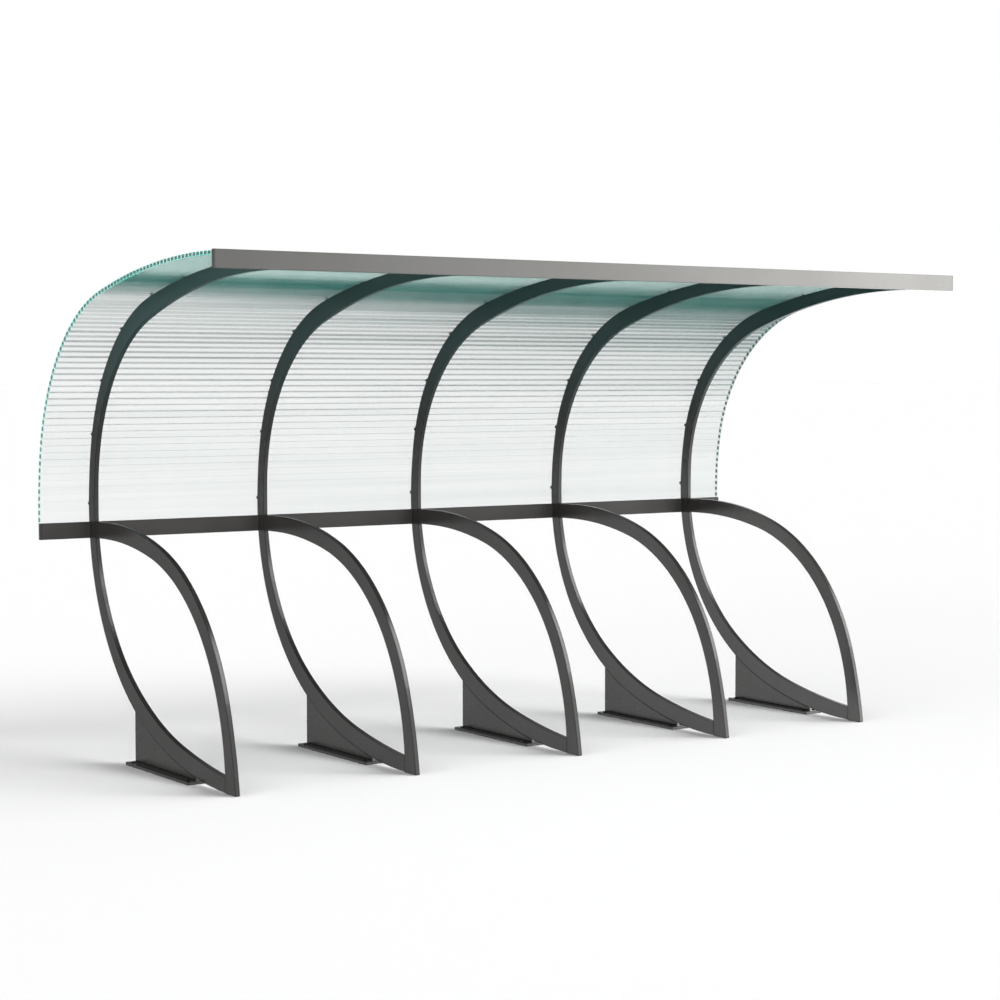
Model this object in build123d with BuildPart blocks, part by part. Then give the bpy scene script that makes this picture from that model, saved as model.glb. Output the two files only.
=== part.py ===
"""Open bicycle shelter: five bent steel ribs, a back rail, a fascia and a bent multiwall roof sheet.

Millimetres, +Z up, X along the shelter, the open front towards -Y.
The origin is the middle of the underside of the middle rib's base plate.
"""
import math
import os

from build123d import *

# Ribs, counted from the left end
rib_count = 5
rib_pitch = 850.0
rib_thickness = 20.0

# Rear post, a bent bar from the ground up to the fascia; y is measured from the base plate's middle
rear_reach = 744.0
plumb_level = 1085.0
rear_width = 60.0
tip_reach = 636.0
tip_lift = 2.0
heel_lift = 4.0
tip_depth = 62.0
roof_reach = 940.0
rib_top_level = 2134.0
rib_end_depth = 53.0

# Points on the bends, as (forward of the rear edge, above or below the plumb level)
shoulder_outside = [(25.0, 271.0), (638.0, 926.0)]
shoulder_inside = [(61.0, 95.0), (597.0, 829.0)]
heel_outside = [(107.0, -457.0), (627.0, -943.0)]
heel_inside = [(447.0, -748.0), (886.0, -948.0)]

# Front hoop, from the rear post at rail height down to the tip
hoop_top_level = 1031.0
hoop_root_depth = 72.0
hoop_foot_width = 87.0
hoop_flat_outside = 151.0
hoop_flat_inside = 116.0
hoop_outside = [(711.0, -134.0), (1299.0, -724.0)]
hoop_inside = [(623.0, -180.0), (1160.0, -584.0)]

# Back rail and fascia, hollow bars closed by caps
bar_height = 72.0
bar_depth = 20.0
bar_wall = 2.5
cap_thickness = 3.0
rail_top_level = 1027.0
rail_seat = 10.0
fascia_lip = 3.0
fascia_end_lap = 11.0

# Roof sheet, a multiwall extrusion whose flutes run along the shelter
roof_overhang = 245.0
sheet_thickness = 16.0
skin_thickness = 1.2
web_thickness = 1.2
flute_pitch = 31.0

# Feet
plate_length = 592.0
plate_width = 100.0
plate_thickness = 14.0
anchor_hole_radius = 6.0
anchor_spacing_x = 64.0
anchor_spacing_y = 520.0
gusset_thickness = 8.0
gusset_front = 265.0

os.makedirs("parts", exist_ok=True)

rib_places = [(i - (rib_count - 1) / 2) * rib_pitch for i in range(rib_count)]
roof_length = (rib_count - 1) * rib_pitch + 2 * roof_overhang
plumb_outside = (rear_reach, plumb_level)
plumb_inside = (rear_reach - rear_width, plumb_level)
tip = (-tip_reach, tip_lift)
hoop_foot_rear = (hoop_foot_width - tip_reach, tip_lift)
heel_end = (hoop_foot_width / 2 - tip_reach, heel_lift)
instep_end = (hoop_foot_width / 2 - tip_reach, tip_lift + tip_depth)


def bend(start, tangent, offsets, end):
    """Draw tangent arcs from start over the points of a bend to its end."""
    arc_start = start
    arc_tangent = tangent
    for forward, above in offsets:
        point = (rear_reach - forward, plumb_level + above)
        arc = TangentArc(arc_start, point, tangent=arc_tangent)
        arc_start = arc @ 1
        arc_tangent = arc % 1
    return TangentArc(arc_start, end, tangent=arc_tangent)


# Profile of the front hoop, drawn with x along the depth and y up
with BuildSketch() as hoop_profile:
    with BuildLine():
        hoop_bottom_level = hoop_top_level - hoop_root_depth
        top_flat = Line((rear_reach - rear_width, hoop_top_level),
                        (rear_reach - rear_width - hoop_flat_outside, hoop_top_level))
        bend(top_flat @ 1, (-1, 0), hoop_outside, tip)
        Line(tip, hoop_foot_rear)
        under_flat = Line((rear_reach - rear_width, hoop_bottom_level),
                          (rear_reach - rear_width - hoop_flat_inside, hoop_bottom_level))
        bend(under_flat @ 1, (-1, 0), hoop_inside, hoop_foot_rear)
        Line(top_flat @ 0, under_flat @ 0)
    make_face()

# Profile of the rear post, with a flat seat for the back rail and cut to the hoop at both ends
with BuildSketch() as post_profile:
    with BuildLine():
        bend(plumb_outside, (0, 1), shoulder_outside, (-roof_reach, rib_top_level))
        Line((-roof_reach, rib_top_level), (-roof_reach, rib_top_level - rib_end_depth))
        bend(plumb_inside, (0, 1), shoulder_inside, (-roof_reach, rib_top_level - rib_end_depth))
        bend(plumb_inside, (0, -1), heel_inside, instep_end)
        Line(instep_end, heel_end)
        bend(plumb_outside, (0, -1), heel_outside, heel_end)
    make_face()
    with Locations((rear_reach - rail_seat, rail_top_level)):
        Rectangle(bar_depth, bar_height, align=(Align.MIN, Align.MAX), mode=Mode.SUBTRACT)
    add(hoop_profile.sketch, mode=Mode.SUBTRACT)

# Profile of the gusset: what the heel leaves open above the base plate
with BuildSketch() as gusset_profile:
    with BuildLine():
        bend(plumb_outside, (0, -1), heel_outside, heel_end)
        Polyline(heel_end, (heel_end[0], 0), (rear_reach, 0), plumb_outside)
    make_face()
    with Locations((-gusset_front, plate_thickness)):
        Rectangle(gusset_front + plate_length / 2, plumb_level, align=(Align.MIN, Align.MIN),
                  mode=Mode.INTERSECT)

for number, place in enumerate(rib_places, start=1):
    rib_plane = Plane.YZ.offset(place - rib_thickness / 2)

    with BuildPart() as rear_post:
        with BuildSketch(rib_plane):
            add(post_profile.sketch)
        extrude(amount=rib_thickness)
    rear_post.part.label = f"rear_post_{number}"
    export_step(rear_post.part, f"parts/rear_post_{number}.step")

    with BuildPart() as front_hoop:
        with BuildSketch(rib_plane):
            add(hoop_profile.sketch)
        extrude(amount=rib_thickness)
    front_hoop.part.label = f"front_hoop_{number}"
    export_step(front_hoop.part, f"parts/front_hoop_{number}.step")

    with BuildPart() as gusset:
        with BuildSketch(Plane.YZ.offset(place - gusset_thickness / 2)):
            add(gusset_profile.sketch)
        extrude(amount=gusset_thickness)
    gusset.part.label = f"gusset_{number}"
    export_step(gusset.part, f"parts/gusset_{number}.step")

    with BuildPart() as base_plate:
        with BuildSketch():
            with Locations((place, 0)):
                Rectangle(plate_width, plate_length)
                with GridLocations(anchor_spacing_x, anchor_spacing_y, 2, 2):
                    Circle(anchor_hole_radius, mode=Mode.SUBTRACT)
        extrude(amount=plate_thickness)
    base_plate.part.label = f"base_plate_{number}"
    export_step(base_plate.part, f"parts/base_plate_{number}.step")


def hollow_bar(name, length, middle_y, middle_z):
    """Make a hollow bar along the shelter, closed by a cap at each end."""
    for piece, side in ((f"{name}_cap_left", -1), (f"{name}_cap_right", 1)):
        cap_middle = side * (length - cap_thickness) / 2
        with BuildPart() as cap:
            with BuildSketch(Plane.YZ.offset(cap_middle - cap_thickness / 2)):
                with Locations((middle_y, middle_z)):
                    Rectangle(bar_depth, bar_height)
            extrude(amount=cap_thickness)
        cap.part.label = piece
        export_step(cap.part, f"parts/{piece}.step")

    bar_length = length - 2 * cap_thickness
    with BuildPart() as bar:
        with BuildSketch(Plane.YZ.offset(-bar_length / 2)):
            with Locations((middle_y, middle_z)):
                Rectangle(bar_depth, bar_height)
                Rectangle(bar_depth - 2 * bar_wall, bar_height - 2 * bar_wall, mode=Mode.SUBTRACT)
        extrude(amount=bar_length)
    bar.part.label = name
    export_step(bar.part, f"parts/{name}.step")


rail_middle_y = rear_reach - rail_seat + bar_depth / 2
hollow_bar("back_rail", roof_length, rail_middle_y, rail_top_level - bar_height / 2)
fascia_length = roof_length + 2 * fascia_end_lap
fascia_top_level = rib_top_level + sheet_thickness + fascia_lip
hollow_bar("front_fascia", fascia_length, -roof_reach - bar_depth / 2, fascia_top_level - bar_height / 2)

# Roof sheet, bent over the outside of the posts from the back rail to the fascia
with BuildLine() as sheet_run:
    Line((rear_reach, rail_top_level), plumb_outside)
    bend(plumb_outside, (0, 1), shoulder_outside, (-roof_reach, rib_top_level))
sheet_underside = sheet_run.wire()
flute_count = round(sheet_underside.length / flute_pitch)
flute_step = (sheet_underside.length - web_thickness) / flute_count
flute_places = []
for flute in range(flute_count):
    run = web_thickness / 2 + (flute + 0.5) * flute_step
    below = sheet_underside.position_at(run, position_mode=PositionMode.LENGTH)
    along = sheet_underside.tangent_at(run, position_mode=PositionMode.LENGTH)
    middle = below + Vector(along.Y, -along.X) * (sheet_thickness / 2)
    flute_places.append(Location((middle.X, middle.Y), math.degrees(math.atan2(along.Y, along.X))))

with BuildPart() as roof_sheet:
    with BuildSketch(Plane.YZ.offset(-roof_length / 2)):
        with BuildLine():
            add(sheet_run.line)
            offset(amount=sheet_thickness, side=Side.RIGHT)
        make_face()
        with Locations((-roof_reach, rib_top_level)):
            Rectangle(bar_depth, bar_height, align=(Align.MAX, Align.CENTER), mode=Mode.SUBTRACT)
        with Locations(flute_places):
            Rectangle(flute_step - web_thickness, sheet_thickness - 2 * skin_thickness,
                      mode=Mode.SUBTRACT)
    extrude(amount=roof_length)
roof_sheet.part.label = "roof_sheet"
export_step(roof_sheet.part, "parts/roof_sheet.step")
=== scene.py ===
"""Open bicycle shelter with bent steel ribs and a bent multiwall roof, dressed for a studio view."""
import math
import random

import bpy
from mathutils import Matrix, Vector


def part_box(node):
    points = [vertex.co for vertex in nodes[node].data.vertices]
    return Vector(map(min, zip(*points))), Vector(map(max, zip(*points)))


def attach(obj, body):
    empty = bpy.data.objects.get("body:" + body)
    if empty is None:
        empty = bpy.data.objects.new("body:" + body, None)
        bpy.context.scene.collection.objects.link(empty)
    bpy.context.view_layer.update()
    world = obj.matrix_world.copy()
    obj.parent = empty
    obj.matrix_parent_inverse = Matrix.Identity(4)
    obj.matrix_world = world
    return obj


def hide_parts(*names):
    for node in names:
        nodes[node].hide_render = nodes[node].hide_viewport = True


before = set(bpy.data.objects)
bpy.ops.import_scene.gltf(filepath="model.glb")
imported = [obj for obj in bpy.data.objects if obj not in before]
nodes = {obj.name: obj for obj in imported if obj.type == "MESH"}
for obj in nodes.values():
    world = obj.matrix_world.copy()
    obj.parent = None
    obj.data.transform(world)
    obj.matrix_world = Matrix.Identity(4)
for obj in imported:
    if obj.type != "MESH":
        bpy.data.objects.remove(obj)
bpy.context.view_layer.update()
bpy.ops.object.select_all(action="DESELECT")

# Ribs: rear posts and front hoops, welded from flat steel and bent on edge to one continuous curve.
# They are powder coated in a satin warm black with a fine orange peel, with painted shade on the arrises,
# which are darker and duller.
rib_count = 5
rib_sheen = 0.46
rib_arris = 0.009
cloud_scale, patch_scale, peel_scale = 2.6, 38.0, 620.0
peel_strength, peel_depth = 0.022, 0.0004
# Painted shade on the arrises: how far the rounded normal turns, and how much sheen stays there
arris_start, arris_end = 0.996, 0.90
edge_sheen_share = 0.12
# Painted light and shade under the sheet: a green cast toward the top, and less sheen from the rail up
green_light_bottom, green_light_top = 1.30, 2.00
painted_green_light = (0.022, 0.046, 0.044, 1)
sheen_shade_bottom, sheen_shade_top = 1.00, 1.45
shaded_sheen = 0.14


def feed(tree, socket, value):
    """Link a socket to another one, or set it to a plain value."""
    if isinstance(value, bpy.types.NodeSocket):
        tree.links.new(value, socket)
    else:
        socket.default_value = value


def new_finish(name):
    """Start a material; give it with its node tree, its shader and its object coordinates."""
    finish = bpy.data.materials.new(name)
    finish.use_nodes = True
    tree = finish.node_tree
    place = tree.nodes.new("ShaderNodeTexCoord").outputs["Object"]
    return finish, tree, tree.nodes["Principled BSDF"], place


def axis_of(tree, vector, axis):
    """One axis of a place or direction."""
    split = tree.nodes.new("ShaderNodeSeparateXYZ")
    feed(tree, split.inputs["Vector"], vector)
    return split.outputs[axis]


def noise(tree, vector, scale, detail):
    """Cloudy noise."""
    texture = tree.nodes.new("ShaderNodeTexNoise")
    texture.inputs["Scale"].default_value = scale
    texture.inputs["Detail"].default_value = detail
    feed(tree, texture.inputs["Vector"], vector)
    return texture.outputs["Fac"]


def graded(tree, value, turns, colours):
    """Colours that follow one another at the turns of a value."""
    ramp = tree.nodes.new("ShaderNodeValToRGB")
    for _ in turns[2:]:
        ramp.color_ramp.elements.new(0.5)
    for element, turn, colour in zip(ramp.color_ramp.elements, turns, colours):
        element.position = turn
        element.color = colour
    feed(tree, ramp.inputs["Fac"], value)
    return ramp.outputs["Color"]


def spanned(tree, value, start, end, low=0.0, high=1.0, way="LINEAR"):
    """Turn the span from start to end of a value into low to high, held at its ends."""
    span = tree.nodes.new("ShaderNodeMapRange")
    span.interpolation_type = way
    span.inputs["From Min"].default_value = start
    span.inputs["From Max"].default_value = end
    span.inputs["To Min"].default_value = low
    span.inputs["To Max"].default_value = high
    feed(tree, span.inputs["Value"], value)
    return span.outputs["Result"]


def mixed(tree, share, first, second):
    """Go from the first colour to the second by a share."""
    mix = tree.nodes.new("ShaderNodeMix")
    mix.data_type = "RGBA"
    feed(tree, mix.inputs["Factor"], share)
    feed(tree, mix.inputs["A"], first)
    feed(tree, mix.inputs["B"], second)
    return mix.outputs["Result"]


def worked(tree, operation, *values):
    """Work out a value from one or two others."""
    step = tree.nodes.new("ShaderNodeMath")
    step.operation = operation
    for socket, value in zip(step.inputs, values):
        feed(tree, socket, value)
    return step.outputs["Value"]


def embossed(tree, height, strength, depth):
    """Fine relief for a surface."""
    relief = tree.nodes.new("ShaderNodeBump")
    relief.inputs["Strength"].default_value = strength
    relief.inputs["Distance"].default_value = depth
    feed(tree, relief.inputs["Height"], height)
    return relief.outputs["Normal"]


def powder_coat(name, dark_tone, light_tone, edge_shade_tone, arris, gloss, metal, sheen):
    """Satin powder coat: cloudy tone, fine peel, and painted shade that makes the arrises dark and dull."""
    coat, tree, shader, place = new_finish(name)
    cloud = noise(tree, place, cloud_scale, 5.0)
    flats = graded(tree, cloud, (0.36, 0.66), (dark_tone, light_tone))

    # An arris is where the rounded normal leaves the flat one; there colour and sheen are lowered as
    # painted shade
    rounded = tree.nodes.new("ShaderNodeBevel")
    rounded.samples = 4
    rounded.inputs["Radius"].default_value = arris
    flat = tree.nodes.new("ShaderNodeNewGeometry")
    facing = tree.nodes.new("ShaderNodeVectorMath")
    facing.operation = "DOT_PRODUCT"
    feed(tree, facing.inputs[0], rounded.outputs["Normal"])
    feed(tree, facing.inputs[1], flat.outputs["Normal"])
    edge = spanned(tree, facing.outputs["Value"], arris_start, arris_end)
    feed(tree, shader.inputs["Base Color"], mixed(tree, edge, flats, edge_shade_tone))
    edge_sheen_shade = spanned(tree, edge, 0.0, 1.0, 1.0, edge_sheen_share)
    shader.inputs["Specular IOR Level"].default_value = sheen
    feed(tree, shader.inputs["Specular IOR Level"], worked(tree, "MULTIPLY", edge_sheen_shade, sheen))

    # Dull and bright patches in the satin, over a fine orange peel
    patches = noise(tree, place, patch_scale, 3.0)
    feed(tree, shader.inputs["Roughness"], spanned(tree, patches, 0.0, 1.0, *gloss))
    peel = noise(tree, place, peel_scale, 2.0)
    feed(tree, shader.inputs["Normal"], embossed(tree, peel, peel_strength, peel_depth))
    shader.inputs["Metallic"].default_value = metal
    return coat


def finish_node(name, coat):
    """Give a frame piece its finish."""
    for material_slot in nodes[name].material_slots:
        material_slot.material = coat


rib_coat = powder_coat(
    "rib_coat", dark_tone=(0.015, 0.0138, 0.013, 1), light_tone=(0.022, 0.0205, 0.0195, 1),
    edge_shade_tone=(0.006, 0.006, 0.006, 1), arris=rib_arris, gloss=(0.18, 0.26), metal=0.0, sheen=rib_sheen)

# Painted light and shade: a green cast up under the sheet, and less sheen above the rail
coat_tree = rib_coat.node_tree
coat_shader = coat_tree.nodes["Principled BSDF"]
coat_place = coat_tree.nodes.new("ShaderNodeTexCoord").outputs["Object"]
coat_level = axis_of(coat_tree, coat_place, "Z")
coat_colour = coat_shader.inputs["Base Color"].links[0].from_socket
# Painted light: the green of the light through the sheet, mixed into the coat toward the top
green_light_share = spanned(coat_tree, coat_level, green_light_bottom, green_light_top, way="SMOOTHSTEP")
feed(coat_tree, coat_shader.inputs["Base Color"], mixed(coat_tree, green_light_share, coat_colour, painted_green_light))
# Painted shade: the sheen falls from the height of the rail upward
coat_sheen = coat_shader.inputs["Specular IOR Level"].links[0].from_node
sheet_shade_sheen = spanned(coat_tree, coat_level, sheen_shade_bottom, sheen_shade_top, rib_sheen, shaded_sheen)
feed(coat_tree, coat_sheen.inputs[1], sheet_shade_sheen)
for rib in range(1, rib_count + 1):
    finish_node(f"rear_post_{rib}", rib_coat)
    finish_node(f"front_hoop_{rib}", rib_coat)

# Feet: a gusset cut to the heel of each rib stands on a long base plate.
# Both are plasma-cut steel, coated together with the rib after welding.
foot_coat = powder_coat(
    "foot_coat", dark_tone=(0.014, 0.0130, 0.0122, 1), light_tone=(0.021, 0.0195, 0.0185, 1),
    edge_shade_tone=(0.005, 0.005, 0.005, 1), arris=rib_arris, gloss=(0.24, 0.30), metal=0.0, sheen=rib_sheen)
for rib in range(1, rib_count + 1):
    finish_node(f"gusset_{rib}", foot_coat)
    finish_node(f"base_plate_{rib}", foot_coat)

# Weld beads: hand-laid fillets along both sides of each gusset, on the plate and, larger, under the heel.
# Each bead is a row of small overlapping ripples, in a dull black darker than the foot, painted shade along
# the seams.
random.seed(11)
ripple_radius = 0.0031
ripple_pitch = 0.0046
heel_swell = 1.75
face_clear = 0.003
# Painted shade: the beads are darker and less glossy than the foot, for the shade along the seams
seam_shade_coat = powder_coat(
    "seam_shade_coat", dark_tone=(0.006, 0.006, 0.006, 1), light_tone=(0.011, 0.0105, 0.010, 1),
    edge_shade_tone=(0.006, 0.006, 0.006, 1), arris=0.001, gloss=(0.6, 0.75), metal=0.0, sheen=0.05)


def own_copy(source):
    """Copy a piece with a mesh of its own."""
    piece = source.copy()
    piece.data = source.data.copy()
    bpy.context.collection.objects.link(piece)
    return piece


def joined(pieces):
    """Join pieces into the first of them."""
    bpy.ops.object.select_all(action="DESELECT")
    for piece in pieces:
        piece.select_set(True)
    bpy.context.view_layer.objects.active = pieces[0]
    bpy.ops.object.join()
    return bpy.context.object


def coat_all_over(piece, finish):
    """Leave a piece with one finish."""
    piece.data.materials.clear()
    piece.data.materials.append(finish)


bpy.ops.mesh.primitive_uv_sphere_add(segments=8, ring_count=5, radius=ripple_radius)
ripple = bpy.context.object
bpy.ops.object.mode_set(mode="EDIT")
bpy.ops.mesh.select_all(action="SELECT")
bpy.ops.transform.resize(value=(1.0, 0.8, 1.0))
bpy.ops.object.mode_set(mode="OBJECT")
bpy.ops.object.shade_smooth()
low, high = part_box("gusset_1")
post = nodes["rear_post_1"]
beads = []
for side, outward in ((low[0], -face_clear), (high[0], face_clear)):
    step = low[1] + heel_swell * ripple_radius
    while step < high[1] - heel_swell * ripple_radius:
        spots = [(Vector((side, step, low[2])), 1.0)]
        hit, under, _, _ = post.ray_cast(Vector((side + outward, step, low[2])), Vector((0, 0, 1)))
        if hit and under.z - low[2] > 2 * ripple_radius:
            spots.append((Vector((side, step, under.z)), heel_swell))
        for spot, size in spots:
            bead = own_copy(ripple)
            swell = size * random.uniform(0.88, 1.08)
            bead.data.transform(Matrix.Translation(spot) @ Matrix.Scale(swell, 4))
            beads.append(bead)
        step += ripple_pitch * random.uniform(0.92, 1.08)
first_weld = joined(beads)
coat_all_over(first_weld, seam_shade_coat)
for rib in range(1, rib_count + 1):
    weld = own_copy(first_weld)
    weld.name = f"foot_weld_{rib}"
    weld.data.transform(Matrix.Translation((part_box(f"gusset_{rib}")[0][0] - low[0], 0, 0)))
    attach(weld, "root")
bpy.data.objects.remove(ripple)
bpy.data.objects.remove(first_weld)

# Anchor screws: steel screws with low button heads on thin washers, driven into the footing.
# Four hold each base plate, one near each corner, coated over with the foot's own finish.
head_radius = 0.0088
head_height = 0.0034
socket_radius = 0.0036
socket_depth = 0.0015
washer_radius = 0.0105
washer_height = 0.0012
washer_chamfer = 0.0003
shank_radius = 0.005
shank_clear = 0.001
anchor_across = 0.032
anchor_along = 0.260
plate_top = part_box("base_plate_3")[1][2]


def turned_rod(vertices, radius, length, middle):
    """Turn a round rod, upright on the axis."""
    bpy.ops.mesh.primitive_cylinder_add(vertices=vertices, radius=radius, depth=length,
                                        location=(0, 0, middle))
    rod = bpy.context.object
    bpy.ops.object.transform_apply(location=True, rotation=True, scale=True)
    return rod


def low_dome(segments, radius, height, level):
    """Press half a ball flat and stand it at a level."""
    bpy.ops.mesh.primitive_uv_sphere_add(segments=segments, ring_count=12, radius=radius)
    dome = bpy.context.object
    bpy.ops.object.mode_set(mode="EDIT")
    bpy.ops.mesh.select_all(action="SELECT")
    bpy.ops.mesh.bisect(plane_co=(0, 0, 0), plane_no=(0, 0, 1), use_fill=True, clear_inner=True)
    bpy.ops.mesh.select_all(action="SELECT")
    bpy.ops.transform.resize(value=(1, 1, height / radius), center_override=(0, 0, 0))
    bpy.ops.transform.translate(value=(0, 0, level))
    bpy.ops.object.mode_set(mode="OBJECT")
    bpy.ops.object.shade_smooth_by_angle(angle=math.radians(40))
    return dome


bpy.ops.object.select_all(action="DESELECT")
button = low_dome(24, head_radius, head_height, washer_height)
bpy.ops.mesh.primitive_cylinder_add(vertices=6, radius=socket_radius, depth=2 * socket_depth,
                                    location=(0, 0, washer_height + head_height))
socket_cutter = bpy.context.object
socket = button.modifiers.new("socket", "BOOLEAN")
socket.object = socket_cutter
socket.solver = "EXACT"
bpy.context.view_layer.objects.active = button
bpy.ops.object.modifier_apply(modifier=socket.name)
bpy.data.objects.remove(socket_cutter)
washer = turned_rod(32, washer_radius, washer_height, washer_height / 2)
rounding = washer.modifiers.new("chamfer", "BEVEL")
rounding.width = washer_chamfer
rounding.segments = 2
bpy.ops.object.modifier_apply(modifier=rounding.name)
shank_length = plate_top - shank_clear
shank = turned_rod(20, shank_radius, shank_length, -shank_length / 2)
anchor = joined([button, washer, shank])
for rib in range(1, rib_count + 1):
    low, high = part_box(f"base_plate_{rib}")
    middle = (low[0] + high[0]) / 2
    anchors = []
    for across in (-anchor_across, anchor_across):
        for along in (-anchor_along, anchor_along):
            one = own_copy(anchor)
            turn = Matrix.Rotation(random.uniform(0, math.pi / 3), 4, "Z")
            spot = Matrix.Translation((middle + across, along, plate_top))
            one.data.transform(spot @ turn)
            anchors.append(one)
    four_anchors = joined(anchors)
    four_anchors.name = f"anchor_screws_{rib}"
    coat_all_over(four_anchors, foot_coat)
    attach(four_anchors, "root")
bpy.data.objects.remove(anchor)

# Back rail and fascia: rectangular steel tubes with welded end caps.
# The rail is coated like the ribs but duller, and the fascia in a metallic silver grey.
rail_coat = powder_coat(
    "rail_coat", dark_tone=(0.040, 0.0385, 0.037, 1), light_tone=(0.052, 0.050, 0.048, 1),
    edge_shade_tone=(0.012, 0.012, 0.012, 1), arris=0.004, gloss=(0.34, 0.44), metal=0.0, sheen=0.12)
fascia_coat = powder_coat(
    "fascia_coat", dark_tone=(0.098, 0.097, 0.093, 1), light_tone=(0.108, 0.107, 0.103, 1),
    edge_shade_tone=(0.045, 0.045, 0.043, 1), arris=0.004, gloss=(0.20, 0.23), metal=0.8, sheen=0.5)
for part, coat in (("back_rail", rail_coat), ("front_fascia", fascia_coat)):
    finish_node(part, coat)
    finish_node(f"{part}_cap_left", coat)
    finish_node(f"{part}_cap_right", coat)

# Roof: one clear multiwall polycarbonate sheet, extruded with flutes and bent cold over the ribs.
# Two thin skins are joined by webs every thirty-one millimetres, and the left sawn end glows sea green.
draw_line_scale = (0.6, 90.0, 90.0)
haze_low, haze_high = 0.75, 1.25
streak_scale = (0.35, 17.0, 17.0)
thin_share, thick_share = 0.72, 1.28
glow_start, glow_end = 1.932, 1.945
glow_colour = (0.10, 0.72, 0.62, 1)
glow_cover = 0.07
near_end, far_end = -1.6, 1.6
sky_bottom, sky_top = 2.00, 2.08
# Painted light: the webs over the roof are painted in this paler colour
painted_light_web = (0.52, 0.70, 0.66, 1)
sky_web_cover = 0.32


def grey(share):
    """A share as a colour."""
    return (share, share, share, 1)


def clear_plastic(name, pale, deep, turns, near_covers, far_covers, gloss):
    """Clear polycarbonate: faint draw lines, cover by how flat it is seen, painted sea green glow at the
    left end.
    """
    plastic, tree, shader, place = new_finish(name)
    drawn = tree.nodes.new("ShaderNodeMapping")
    drawn.inputs["Scale"].default_value = draw_line_scale
    feed(tree, drawn.inputs["Vector"], place)
    lines = noise(tree, drawn.outputs["Vector"], 1.0, 3.0)
    tint = graded(tree, lines, (0.35, 0.7), (deep, pale))

    # The light that runs along the sheet leaves it at the left sawn end
    length_place = axis_of(tree, place, "X")
    leftward = worked(tree, "MULTIPLY", length_place, -1.0)
    end_glow = spanned(tree, leftward, glow_start, glow_end, way="SMOOTHSTEP")
    feed(tree, shader.inputs["Base Color"], mixed(tree, end_glow, tint, glow_colour))

    # The flatter the plastic is seen, the longer the way of light through it
    flatness = tree.nodes.new("ShaderNodeLayerWeight")
    flatness.inputs["Blend"].default_value = 0.5
    near, far = (graded(tree, flatness.outputs["Facing"], turns, [grey(share) for share in covers])
                 for covers in (near_covers, far_covers))
    cover = mixed(tree, spanned(tree, length_place, near_end, far_end), near, far)
    haze = spanned(tree, lines, 0.0, 1.0, haze_low, haze_high)
    hazy_cover = worked(tree, "MULTIPLY", cover, haze)

    # Broad streaks, where the skin is a little thicker or thinner
    long_way = tree.nodes.new("ShaderNodeMapping")
    long_way.inputs["Scale"].default_value = streak_scale
    feed(tree, long_way.inputs["Vector"], place)
    streaks = noise(tree, long_way.outputs["Vector"], 1.0, 2.0)
    thickness = spanned(tree, streaks, 0.3, 0.7, thin_share, thick_share)
    streaky_cover = worked(tree, "MULTIPLY", hazy_cover, thickness)
    end_cover = spanned(tree, end_glow, 0.0, 1.0, 0.0, glow_cover)
    feed(tree, shader.inputs["Alpha"], worked(tree, "MAXIMUM", streaky_cover, end_cover))
    feed(tree, shader.inputs["Roughness"], spanned(tree, lines, 0.0, 1.0, *gloss))
    shader.inputs["Specular IOR Level"].default_value = 0.02
    return plastic


skin_plastic = clear_plastic(
    "sheet_skin", pale=(0.046, 0.235, 0.202, 1), deep=(0.030, 0.172, 0.147, 1),
    turns=(0.0, 0.30, 0.50, 0.62, 0.72, 0.752, 0.775, 0.795, 0.808, 0.820, 0.838, 0.86, 0.90),
    near_covers=(0.035, 0.042, 0.060, 0.085, 0.12, 0.24, 0.42, 0.60, 0.53, 0.20, 0.12, 0.08, 0.05),
    far_covers=(0.035, 0.050, 0.140, 0.26, 0.39, 0.44, 0.52, 0.68, 0.68, 0.44, 0.24, 0.12, 0.06),
    gloss=(0.12, 0.22))
web_covers = (0.06, 0.06, 0.16, 0.31, 0.32, 0.14, 0.05)
web_plastic = clear_plastic(
    "sheet_web", pale=(0.34, 0.39, 0.385, 1), deep=(0.22, 0.27, 0.26, 1),
    turns=(0.0, 0.13, 0.24, 0.34, 0.60, 0.80, 0.95), near_covers=web_covers, far_covers=web_covers,
    gloss=(0.2, 0.35))
# Painted glow: the sawn end faces are painted bright sea green for the light that runs along the sheet
end_glow_plastic = clear_plastic(
    "sheet_sawn_end", pale=(0.10, 0.74, 0.64, 1), deep=(0.05, 0.56, 0.48, 1),
    turns=(0.0, 1.0), near_covers=(1.0, 1.0), far_covers=(1.0, 1.0), gloss=(0.3, 0.5))
joint_seal = clear_plastic(
    "sheet_joint_seal", pale=(0.10, 0.13, 0.13, 1), deep=(0.06, 0.08, 0.08, 1),
    turns=(0.0, 1.0), near_covers=(0.30, 0.30), far_covers=(0.30, 0.30), gloss=(0.3, 0.45))

# Over the roof the webs are seen one behind the other and get a fuller cover, and are painted paler as
# painted light
web_tree = web_plastic.node_tree
web_shader = web_tree.nodes["Principled BSDF"]
web_place = web_tree.nodes.new("ShaderNodeTexCoord").outputs["Object"]
over_roof = spanned(web_tree, axis_of(web_tree, web_place, "Z"), sky_bottom, sky_top)
web_colour = web_shader.inputs["Base Color"].links[0].from_socket
feed(web_tree, web_shader.inputs["Base Color"], mixed(web_tree, over_roof, web_colour, painted_light_web))
web_cover = web_shader.inputs["Alpha"].links[0].from_socket
fuller_cover = spanned(web_tree, over_roof, 0.0, 1.0, 0.0, sky_web_cover)
feed(web_tree, web_shader.inputs["Alpha"], worked(web_tree, "MAXIMUM", web_cover, fuller_cover))

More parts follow.
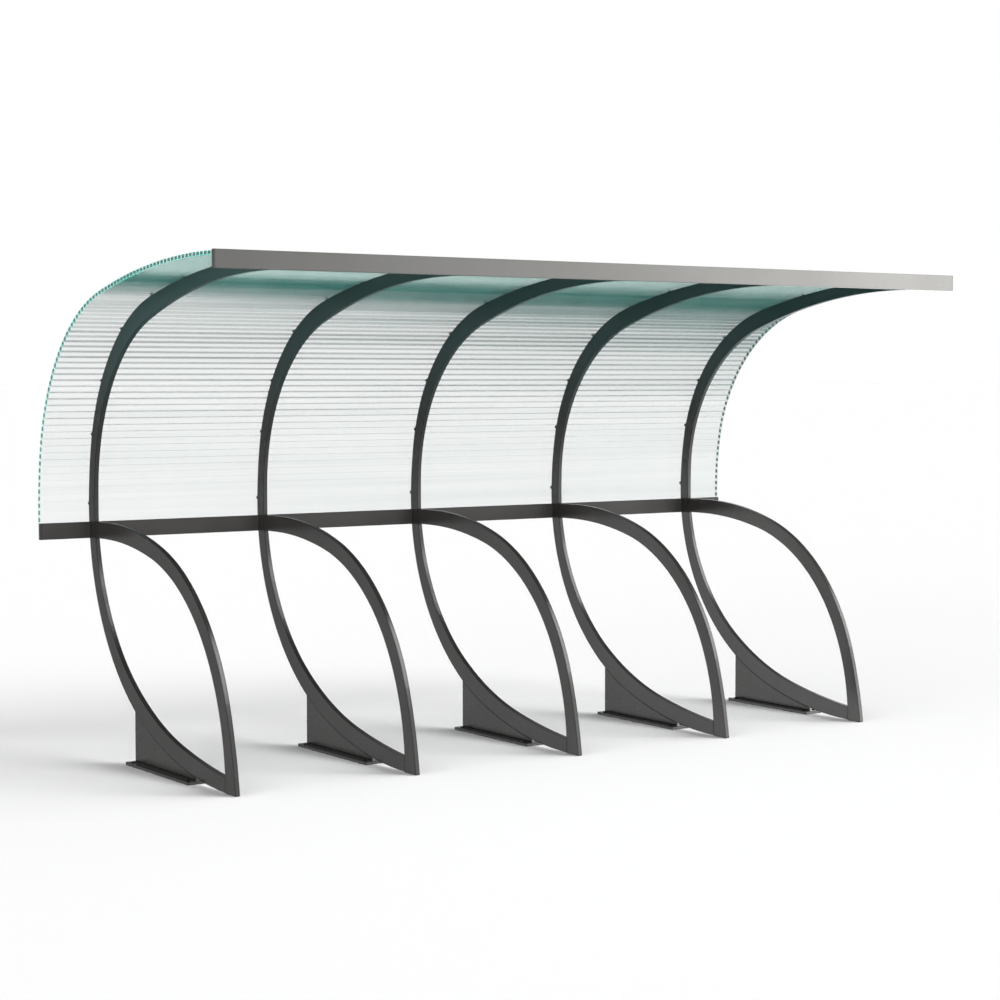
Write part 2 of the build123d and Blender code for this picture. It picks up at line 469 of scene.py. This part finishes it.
bpy.ops.object.select_all(action="DESELECT")
sheet = own_copy(nodes["roof_sheet"])
sheet.name = "multiwall_sheet"
sheet.select_set(True)
bpy.context.view_layer.objects.active = sheet
bpy.ops.object.mode_set(mode="EDIT")
bpy.ops.mesh.select_all(action="SELECT")
bpy.ops.mesh.remove_doubles(threshold=0.00002)
bpy.ops.object.mode_set(mode="OBJECT")
sheet.data.materials.clear()
for plastic in (skin_plastic, web_plastic, end_glow_plastic, joint_seal):
    sheet.data.materials.append(plastic)
bpy.ops.mesh.customdata_custom_splitnormals_clear()
skin_slot, web_slot, end_slot, joint_slot = range(4)
sawn_limit = 0.9
web_depth_limit = 0.020
joint_bottom, joint_top = 1.861, 1.879
for facet in sheet.data.polygons:
    corners = [sheet.data.vertices[corner].co.x for corner in facet.vertices]
    run = max(corners) - min(corners)
    if abs(facet.normal.x) > sawn_limit:
        facet.material_index = end_slot
    elif 2 * facet.area / run > web_depth_limit:
        facet.material_index = skin_slot
    elif joint_bottom < facet.center.z < joint_top:
        facet.material_index = joint_slot
    else:
        facet.material_index = web_slot
bpy.ops.object.shade_smooth_by_angle(angle=math.radians(25))
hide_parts("roof_sheet")
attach(sheet, "root")

# Flute plugs: a soft foam plug closes each flute at both sawn ends against dirt and insects.
# It is cut shorter than the flute, so that water can drain beside it.
plug_foam, foam_tree, foam_shader, foam_place = new_finish("plug_foam")
cells = foam_tree.nodes.new("ShaderNodeTexVoronoi")
cells.inputs["Scale"].default_value = 700.0
feed(foam_tree, cells.inputs["Vector"], foam_place)
foam_colour = graded(foam_tree, cells.outputs["Distance"], (0.0, 1.0),
                     ((0.035, 0.080, 0.072, 1), (0.070, 0.138, 0.125, 1)))
feed(foam_tree, foam_shader.inputs["Base Color"], foam_colour)
feed(foam_tree, foam_shader.inputs["Normal"], embossed(foam_tree, cells.outputs["Distance"], 0.3, 0.0005))
foam_shader.inputs["Roughness"].default_value = 0.8

# The plugs of the right end are paler
pale_foam = plug_foam.copy()
pale_foam.name = "pale_plug_foam"
pale_shader = pale_foam.node_tree.nodes["Principled BSDF"]
pale_ramp = pale_shader.inputs["Base Color"].links[0].from_node.color_ramp
pale_ramp.elements[0].color = (0.11, 0.135, 0.13, 1)
pale_ramp.elements[1].color = (0.19, 0.22, 0.21, 1)

plug_depth = 0.003
plug_height = 0.0136
plug_length = 0.019
plug_rounding = 0.0009
plug_inset = 0.0025
flute_clear = 0.0298
front_margin = 0.005
end_margin = 0.001
bpy.ops.object.select_all(action="DESELECT")
bpy.ops.mesh.primitive_cube_add(size=1)
plug = bpy.context.object
bpy.ops.object.mode_set(mode="EDIT")
bpy.ops.mesh.select_all(action="SELECT")
bpy.ops.transform.resize(value=(plug_depth, plug_length, plug_height))
bpy.ops.mesh.bevel(offset=plug_rounding, segments=2)
bpy.ops.object.mode_set(mode="OBJECT")
bpy.ops.object.shade_smooth_by_angle(angle=math.radians(50))

# Every flute has one web below or behind it that faces into it; its plug sits midway to the next
plug_places = []
(sheet_left, sheet_front, _), (sheet_right, _, _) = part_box("roof_sheet")
for facet in sheet.data.polygons:
    faces_up = facet.normal.z >= facet.normal.y
    if facet.material_index not in (web_slot, joint_slot) or not faces_up:
        continue
    if facet.center.y < sheet_front + front_margin:
        continue
    mouth = [sheet.data.vertices[corner].co for corner in facet.vertices]
    mouth = [corner for corner in mouth if corner.x < sheet_left + end_margin]
    if len(mouth) == 2:
        across = (mouth[1] - mouth[0]).normalized()
        web_middle = (mouth[0] + mouth[1]) / 2
        plug_places.append((web_middle + facet.normal * flute_clear / 2, facet.normal, across))
plug_rows = (("left", sheet_left + plug_inset, plug_foam), ("right", sheet_right - plug_inset, pale_foam))
for name, stand, foam in plug_rows:
    row = []
    for middle, along, across in plug_places:
        one = own_copy(plug)
        turn = Matrix((Vector((1, 0, 0)), along, across)).transposed()
        one.data.transform(Matrix.Translation((stand, middle.y, middle.z)) @ turn.to_4x4())
        if turn.determinant() < 0:
            one.data.flip_normals()
        row.append(one)
    plugs = joined(row)
    plugs.name = f"flute_plugs_{name}"
    coat_all_over(plugs, foam)
    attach(plugs, "root")
bpy.data.objects.remove(plug)

# Sheet fixings: a long screw with a rubber spacer against the rib and a dished washer let into the skin.
# They hold the sheet to the back edge of each rib, about three hundred millimetres apart.
fixing_rubber, rubber_tree, rubber_shader, rubber_place = new_finish("fixing_rubber")
grain = noise(rubber_tree, rubber_place, 900.0, 2.0)
rubber_colour = graded(rubber_tree, grain, (0.0, 1.0), ((0.018, 0.018, 0.019, 1), (0.045, 0.045, 0.047, 1)))
feed(rubber_tree, rubber_shader.inputs["Base Color"], rubber_colour)
rubber_shader.inputs["Roughness"].default_value = 0.55

sheet_thickness = 0.016
spacer_radius = 0.0068
spacer_length = 0.0075
spacer_rounding = 0.0012
dish_radius = 0.0085
dish_height = 0.0012
dish_rounding = 0.0004
dome_radius = 0.0048
dome_height = 0.0016
stem_radius = 0.0026
fixing_spots = [(0.78, 1.110), (0.74, 1.425), (0.64, 1.675), (0.42, 1.900), (0.12, 2.08), (-0.18, 2.16),
                (-0.50, 2.18), (-0.82, 2.19)]


def round_over(offset):
    """Round all arrises of the active piece."""
    bpy.ops.object.mode_set(mode="EDIT")
    bpy.ops.mesh.select_all(action="SELECT")
    bpy.ops.mesh.bevel(offset=offset, segments=2)
    bpy.ops.object.mode_set(mode="OBJECT")


bpy.ops.object.select_all(action="DESELECT")
spacer = turned_rod(24, spacer_radius, spacer_length, spacer_length / 2 - sheet_thickness)
round_over(spacer_rounding)
bpy.ops.object.shade_smooth_by_angle(angle=math.radians(40))
dish = turned_rod(28, dish_radius, dish_height, -dome_height - dish_height / 2)
round_over(dish_rounding)
dome = low_dome(20, dome_radius, dome_height, -dome_height)
stem_length = sheet_thickness - spacer_length - dome_height
stem = turned_rod(12, stem_radius, stem_length, -dome_height - stem_length / 2)
fixing = joined([spacer, dish, dome, stem])
for rib in range(1, rib_count + 1):
    low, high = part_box(f"rear_post_{rib}")
    middle = (low[0] + high[0]) / 2
    row = []
    for depth, level in fixing_spots:
        _, spot, outward, _ = sheet.closest_point_on_mesh(Vector((middle, depth, level)))
        one = own_copy(fixing)
        turn = outward.to_track_quat("Z", "Y").to_matrix().to_4x4()
        one.data.transform(Matrix.Translation(spot) @ turn)
        row.append(one)
    fixings = joined(row)
    fixings.name = f"sheet_fixings_{rib}"
    coat_all_over(fixings, fixing_rubber)
    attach(fixings, "root")
bpy.data.objects.remove(fixing)

# Studio: a plain pale floor in a white room, with soft light from overhead and one large soft box in front.
# What the coats mirror is brighter toward both sides and in front, and dark above.
floor_size = 1200
front_gain = 3.0
ceiling_share = 0.12
bpy.ops.object.select_all(action="DESELECT")
bpy.ops.mesh.primitive_plane_add(size=floor_size, location=(0, 0, 0))
floor = bpy.context.object
floor.name = "studio_floor"
floor_paint = bpy.data.materials.new("floor_paint")
floor_paint.use_nodes = True
floor_shader = floor_paint.node_tree.nodes["Principled BSDF"]
floor_shader.inputs["Base Color"].default_value = grey(0.92)
floor_shader.inputs["Roughness"].default_value = 0.95
floor_shader.inputs["Specular IOR Level"].default_value = 0.0
floor.data.materials.append(floor_paint)
floor.visible_glossy = False

world = bpy.data.worlds.new("studio")
bpy.context.scene.world = world
world.use_nodes = True
room_tree = world.node_tree
white_wall = room_tree.nodes["Background"]
white_wall.inputs["Color"].default_value = grey(1)
room = room_tree.nodes.new("ShaderNodeBackground")
heading = room_tree.nodes.new("ShaderNodeTexCoord").outputs["Generated"]
aside = worked(room_tree, "ABSOLUTE", axis_of(room_tree, heading, "X"))
room_tones = [grey(tone) for tone in (0.39, 0.97, 2.15, 2.7)]
feed(room_tree, room.inputs["Color"], graded(room_tree, aside, (0.45, 0.61, 0.70, 0.80), room_tones))
in_front = spanned(room_tree, axis_of(room_tree, heading, "Y"), -0.3, 0.3, front_gain, 1.0)
above = spanned(room_tree, axis_of(room_tree, heading, "Z"), 0.20, 0.50, 1.0, ceiling_share)
feed(room_tree, room.inputs["Strength"], worked(room_tree, "MULTIPLY", in_front, above))
light_path = room_tree.nodes.new("ShaderNodeLightPath")
either = room_tree.nodes.new("ShaderNodeMixShader")
feed(room_tree, either.inputs["Fac"], light_path.outputs["Is Camera Ray"])
feed(room_tree, either.inputs[1], room.outputs["Background"])
feed(room_tree, either.inputs[2], white_wall.outputs["Background"])
feed(room_tree, room_tree.nodes["World Output"].inputs["Surface"], either.outputs["Shader"])

bpy.ops.object.light_add(type="SUN", location=(4, -2, 10), rotation=(math.radians(8), math.radians(28), 0))
overhead = bpy.context.object
overhead.name = "overhead"
overhead.data.energy = 0.45
overhead.data.angle = math.radians(50)
overhead.visible_glossy = False

key_heading = math.radians(44)
key_height = math.radians(37)
key_from = Vector((math.sin(key_heading) * math.cos(key_height),
                   -math.cos(key_heading) * math.cos(key_height), math.sin(key_height)))
bpy.ops.object.light_add(type="SUN", location=key_from * 10)
soft_box = bpy.context.object
soft_box.name = "soft_box"
soft_box.rotation_euler = key_from.to_track_quat("Z", "Y").to_euler()
soft_box.data.energy = 1.9
soft_box.data.angle = math.radians(34)

# Camera: at standing height in front of the left end, looking along the row and a little down.
# Its lens gives the photograph's own frame.
camera_place = (-5.8271, -8.4646, 1.6665)
camera_down = 3.12912898
camera_right = 34.57893475
bpy.ops.object.camera_add(location=camera_place,
                          rotation=(math.radians(90 - camera_down), 0, math.radians(-camera_right)))
camera = bpy.context.object
camera.data.sensor_width = 36.0
camera.data.lens = 80.073
bpy.context.scene.camera = camera
bpy.context.scene.view_settings.view_transform = "Standard"
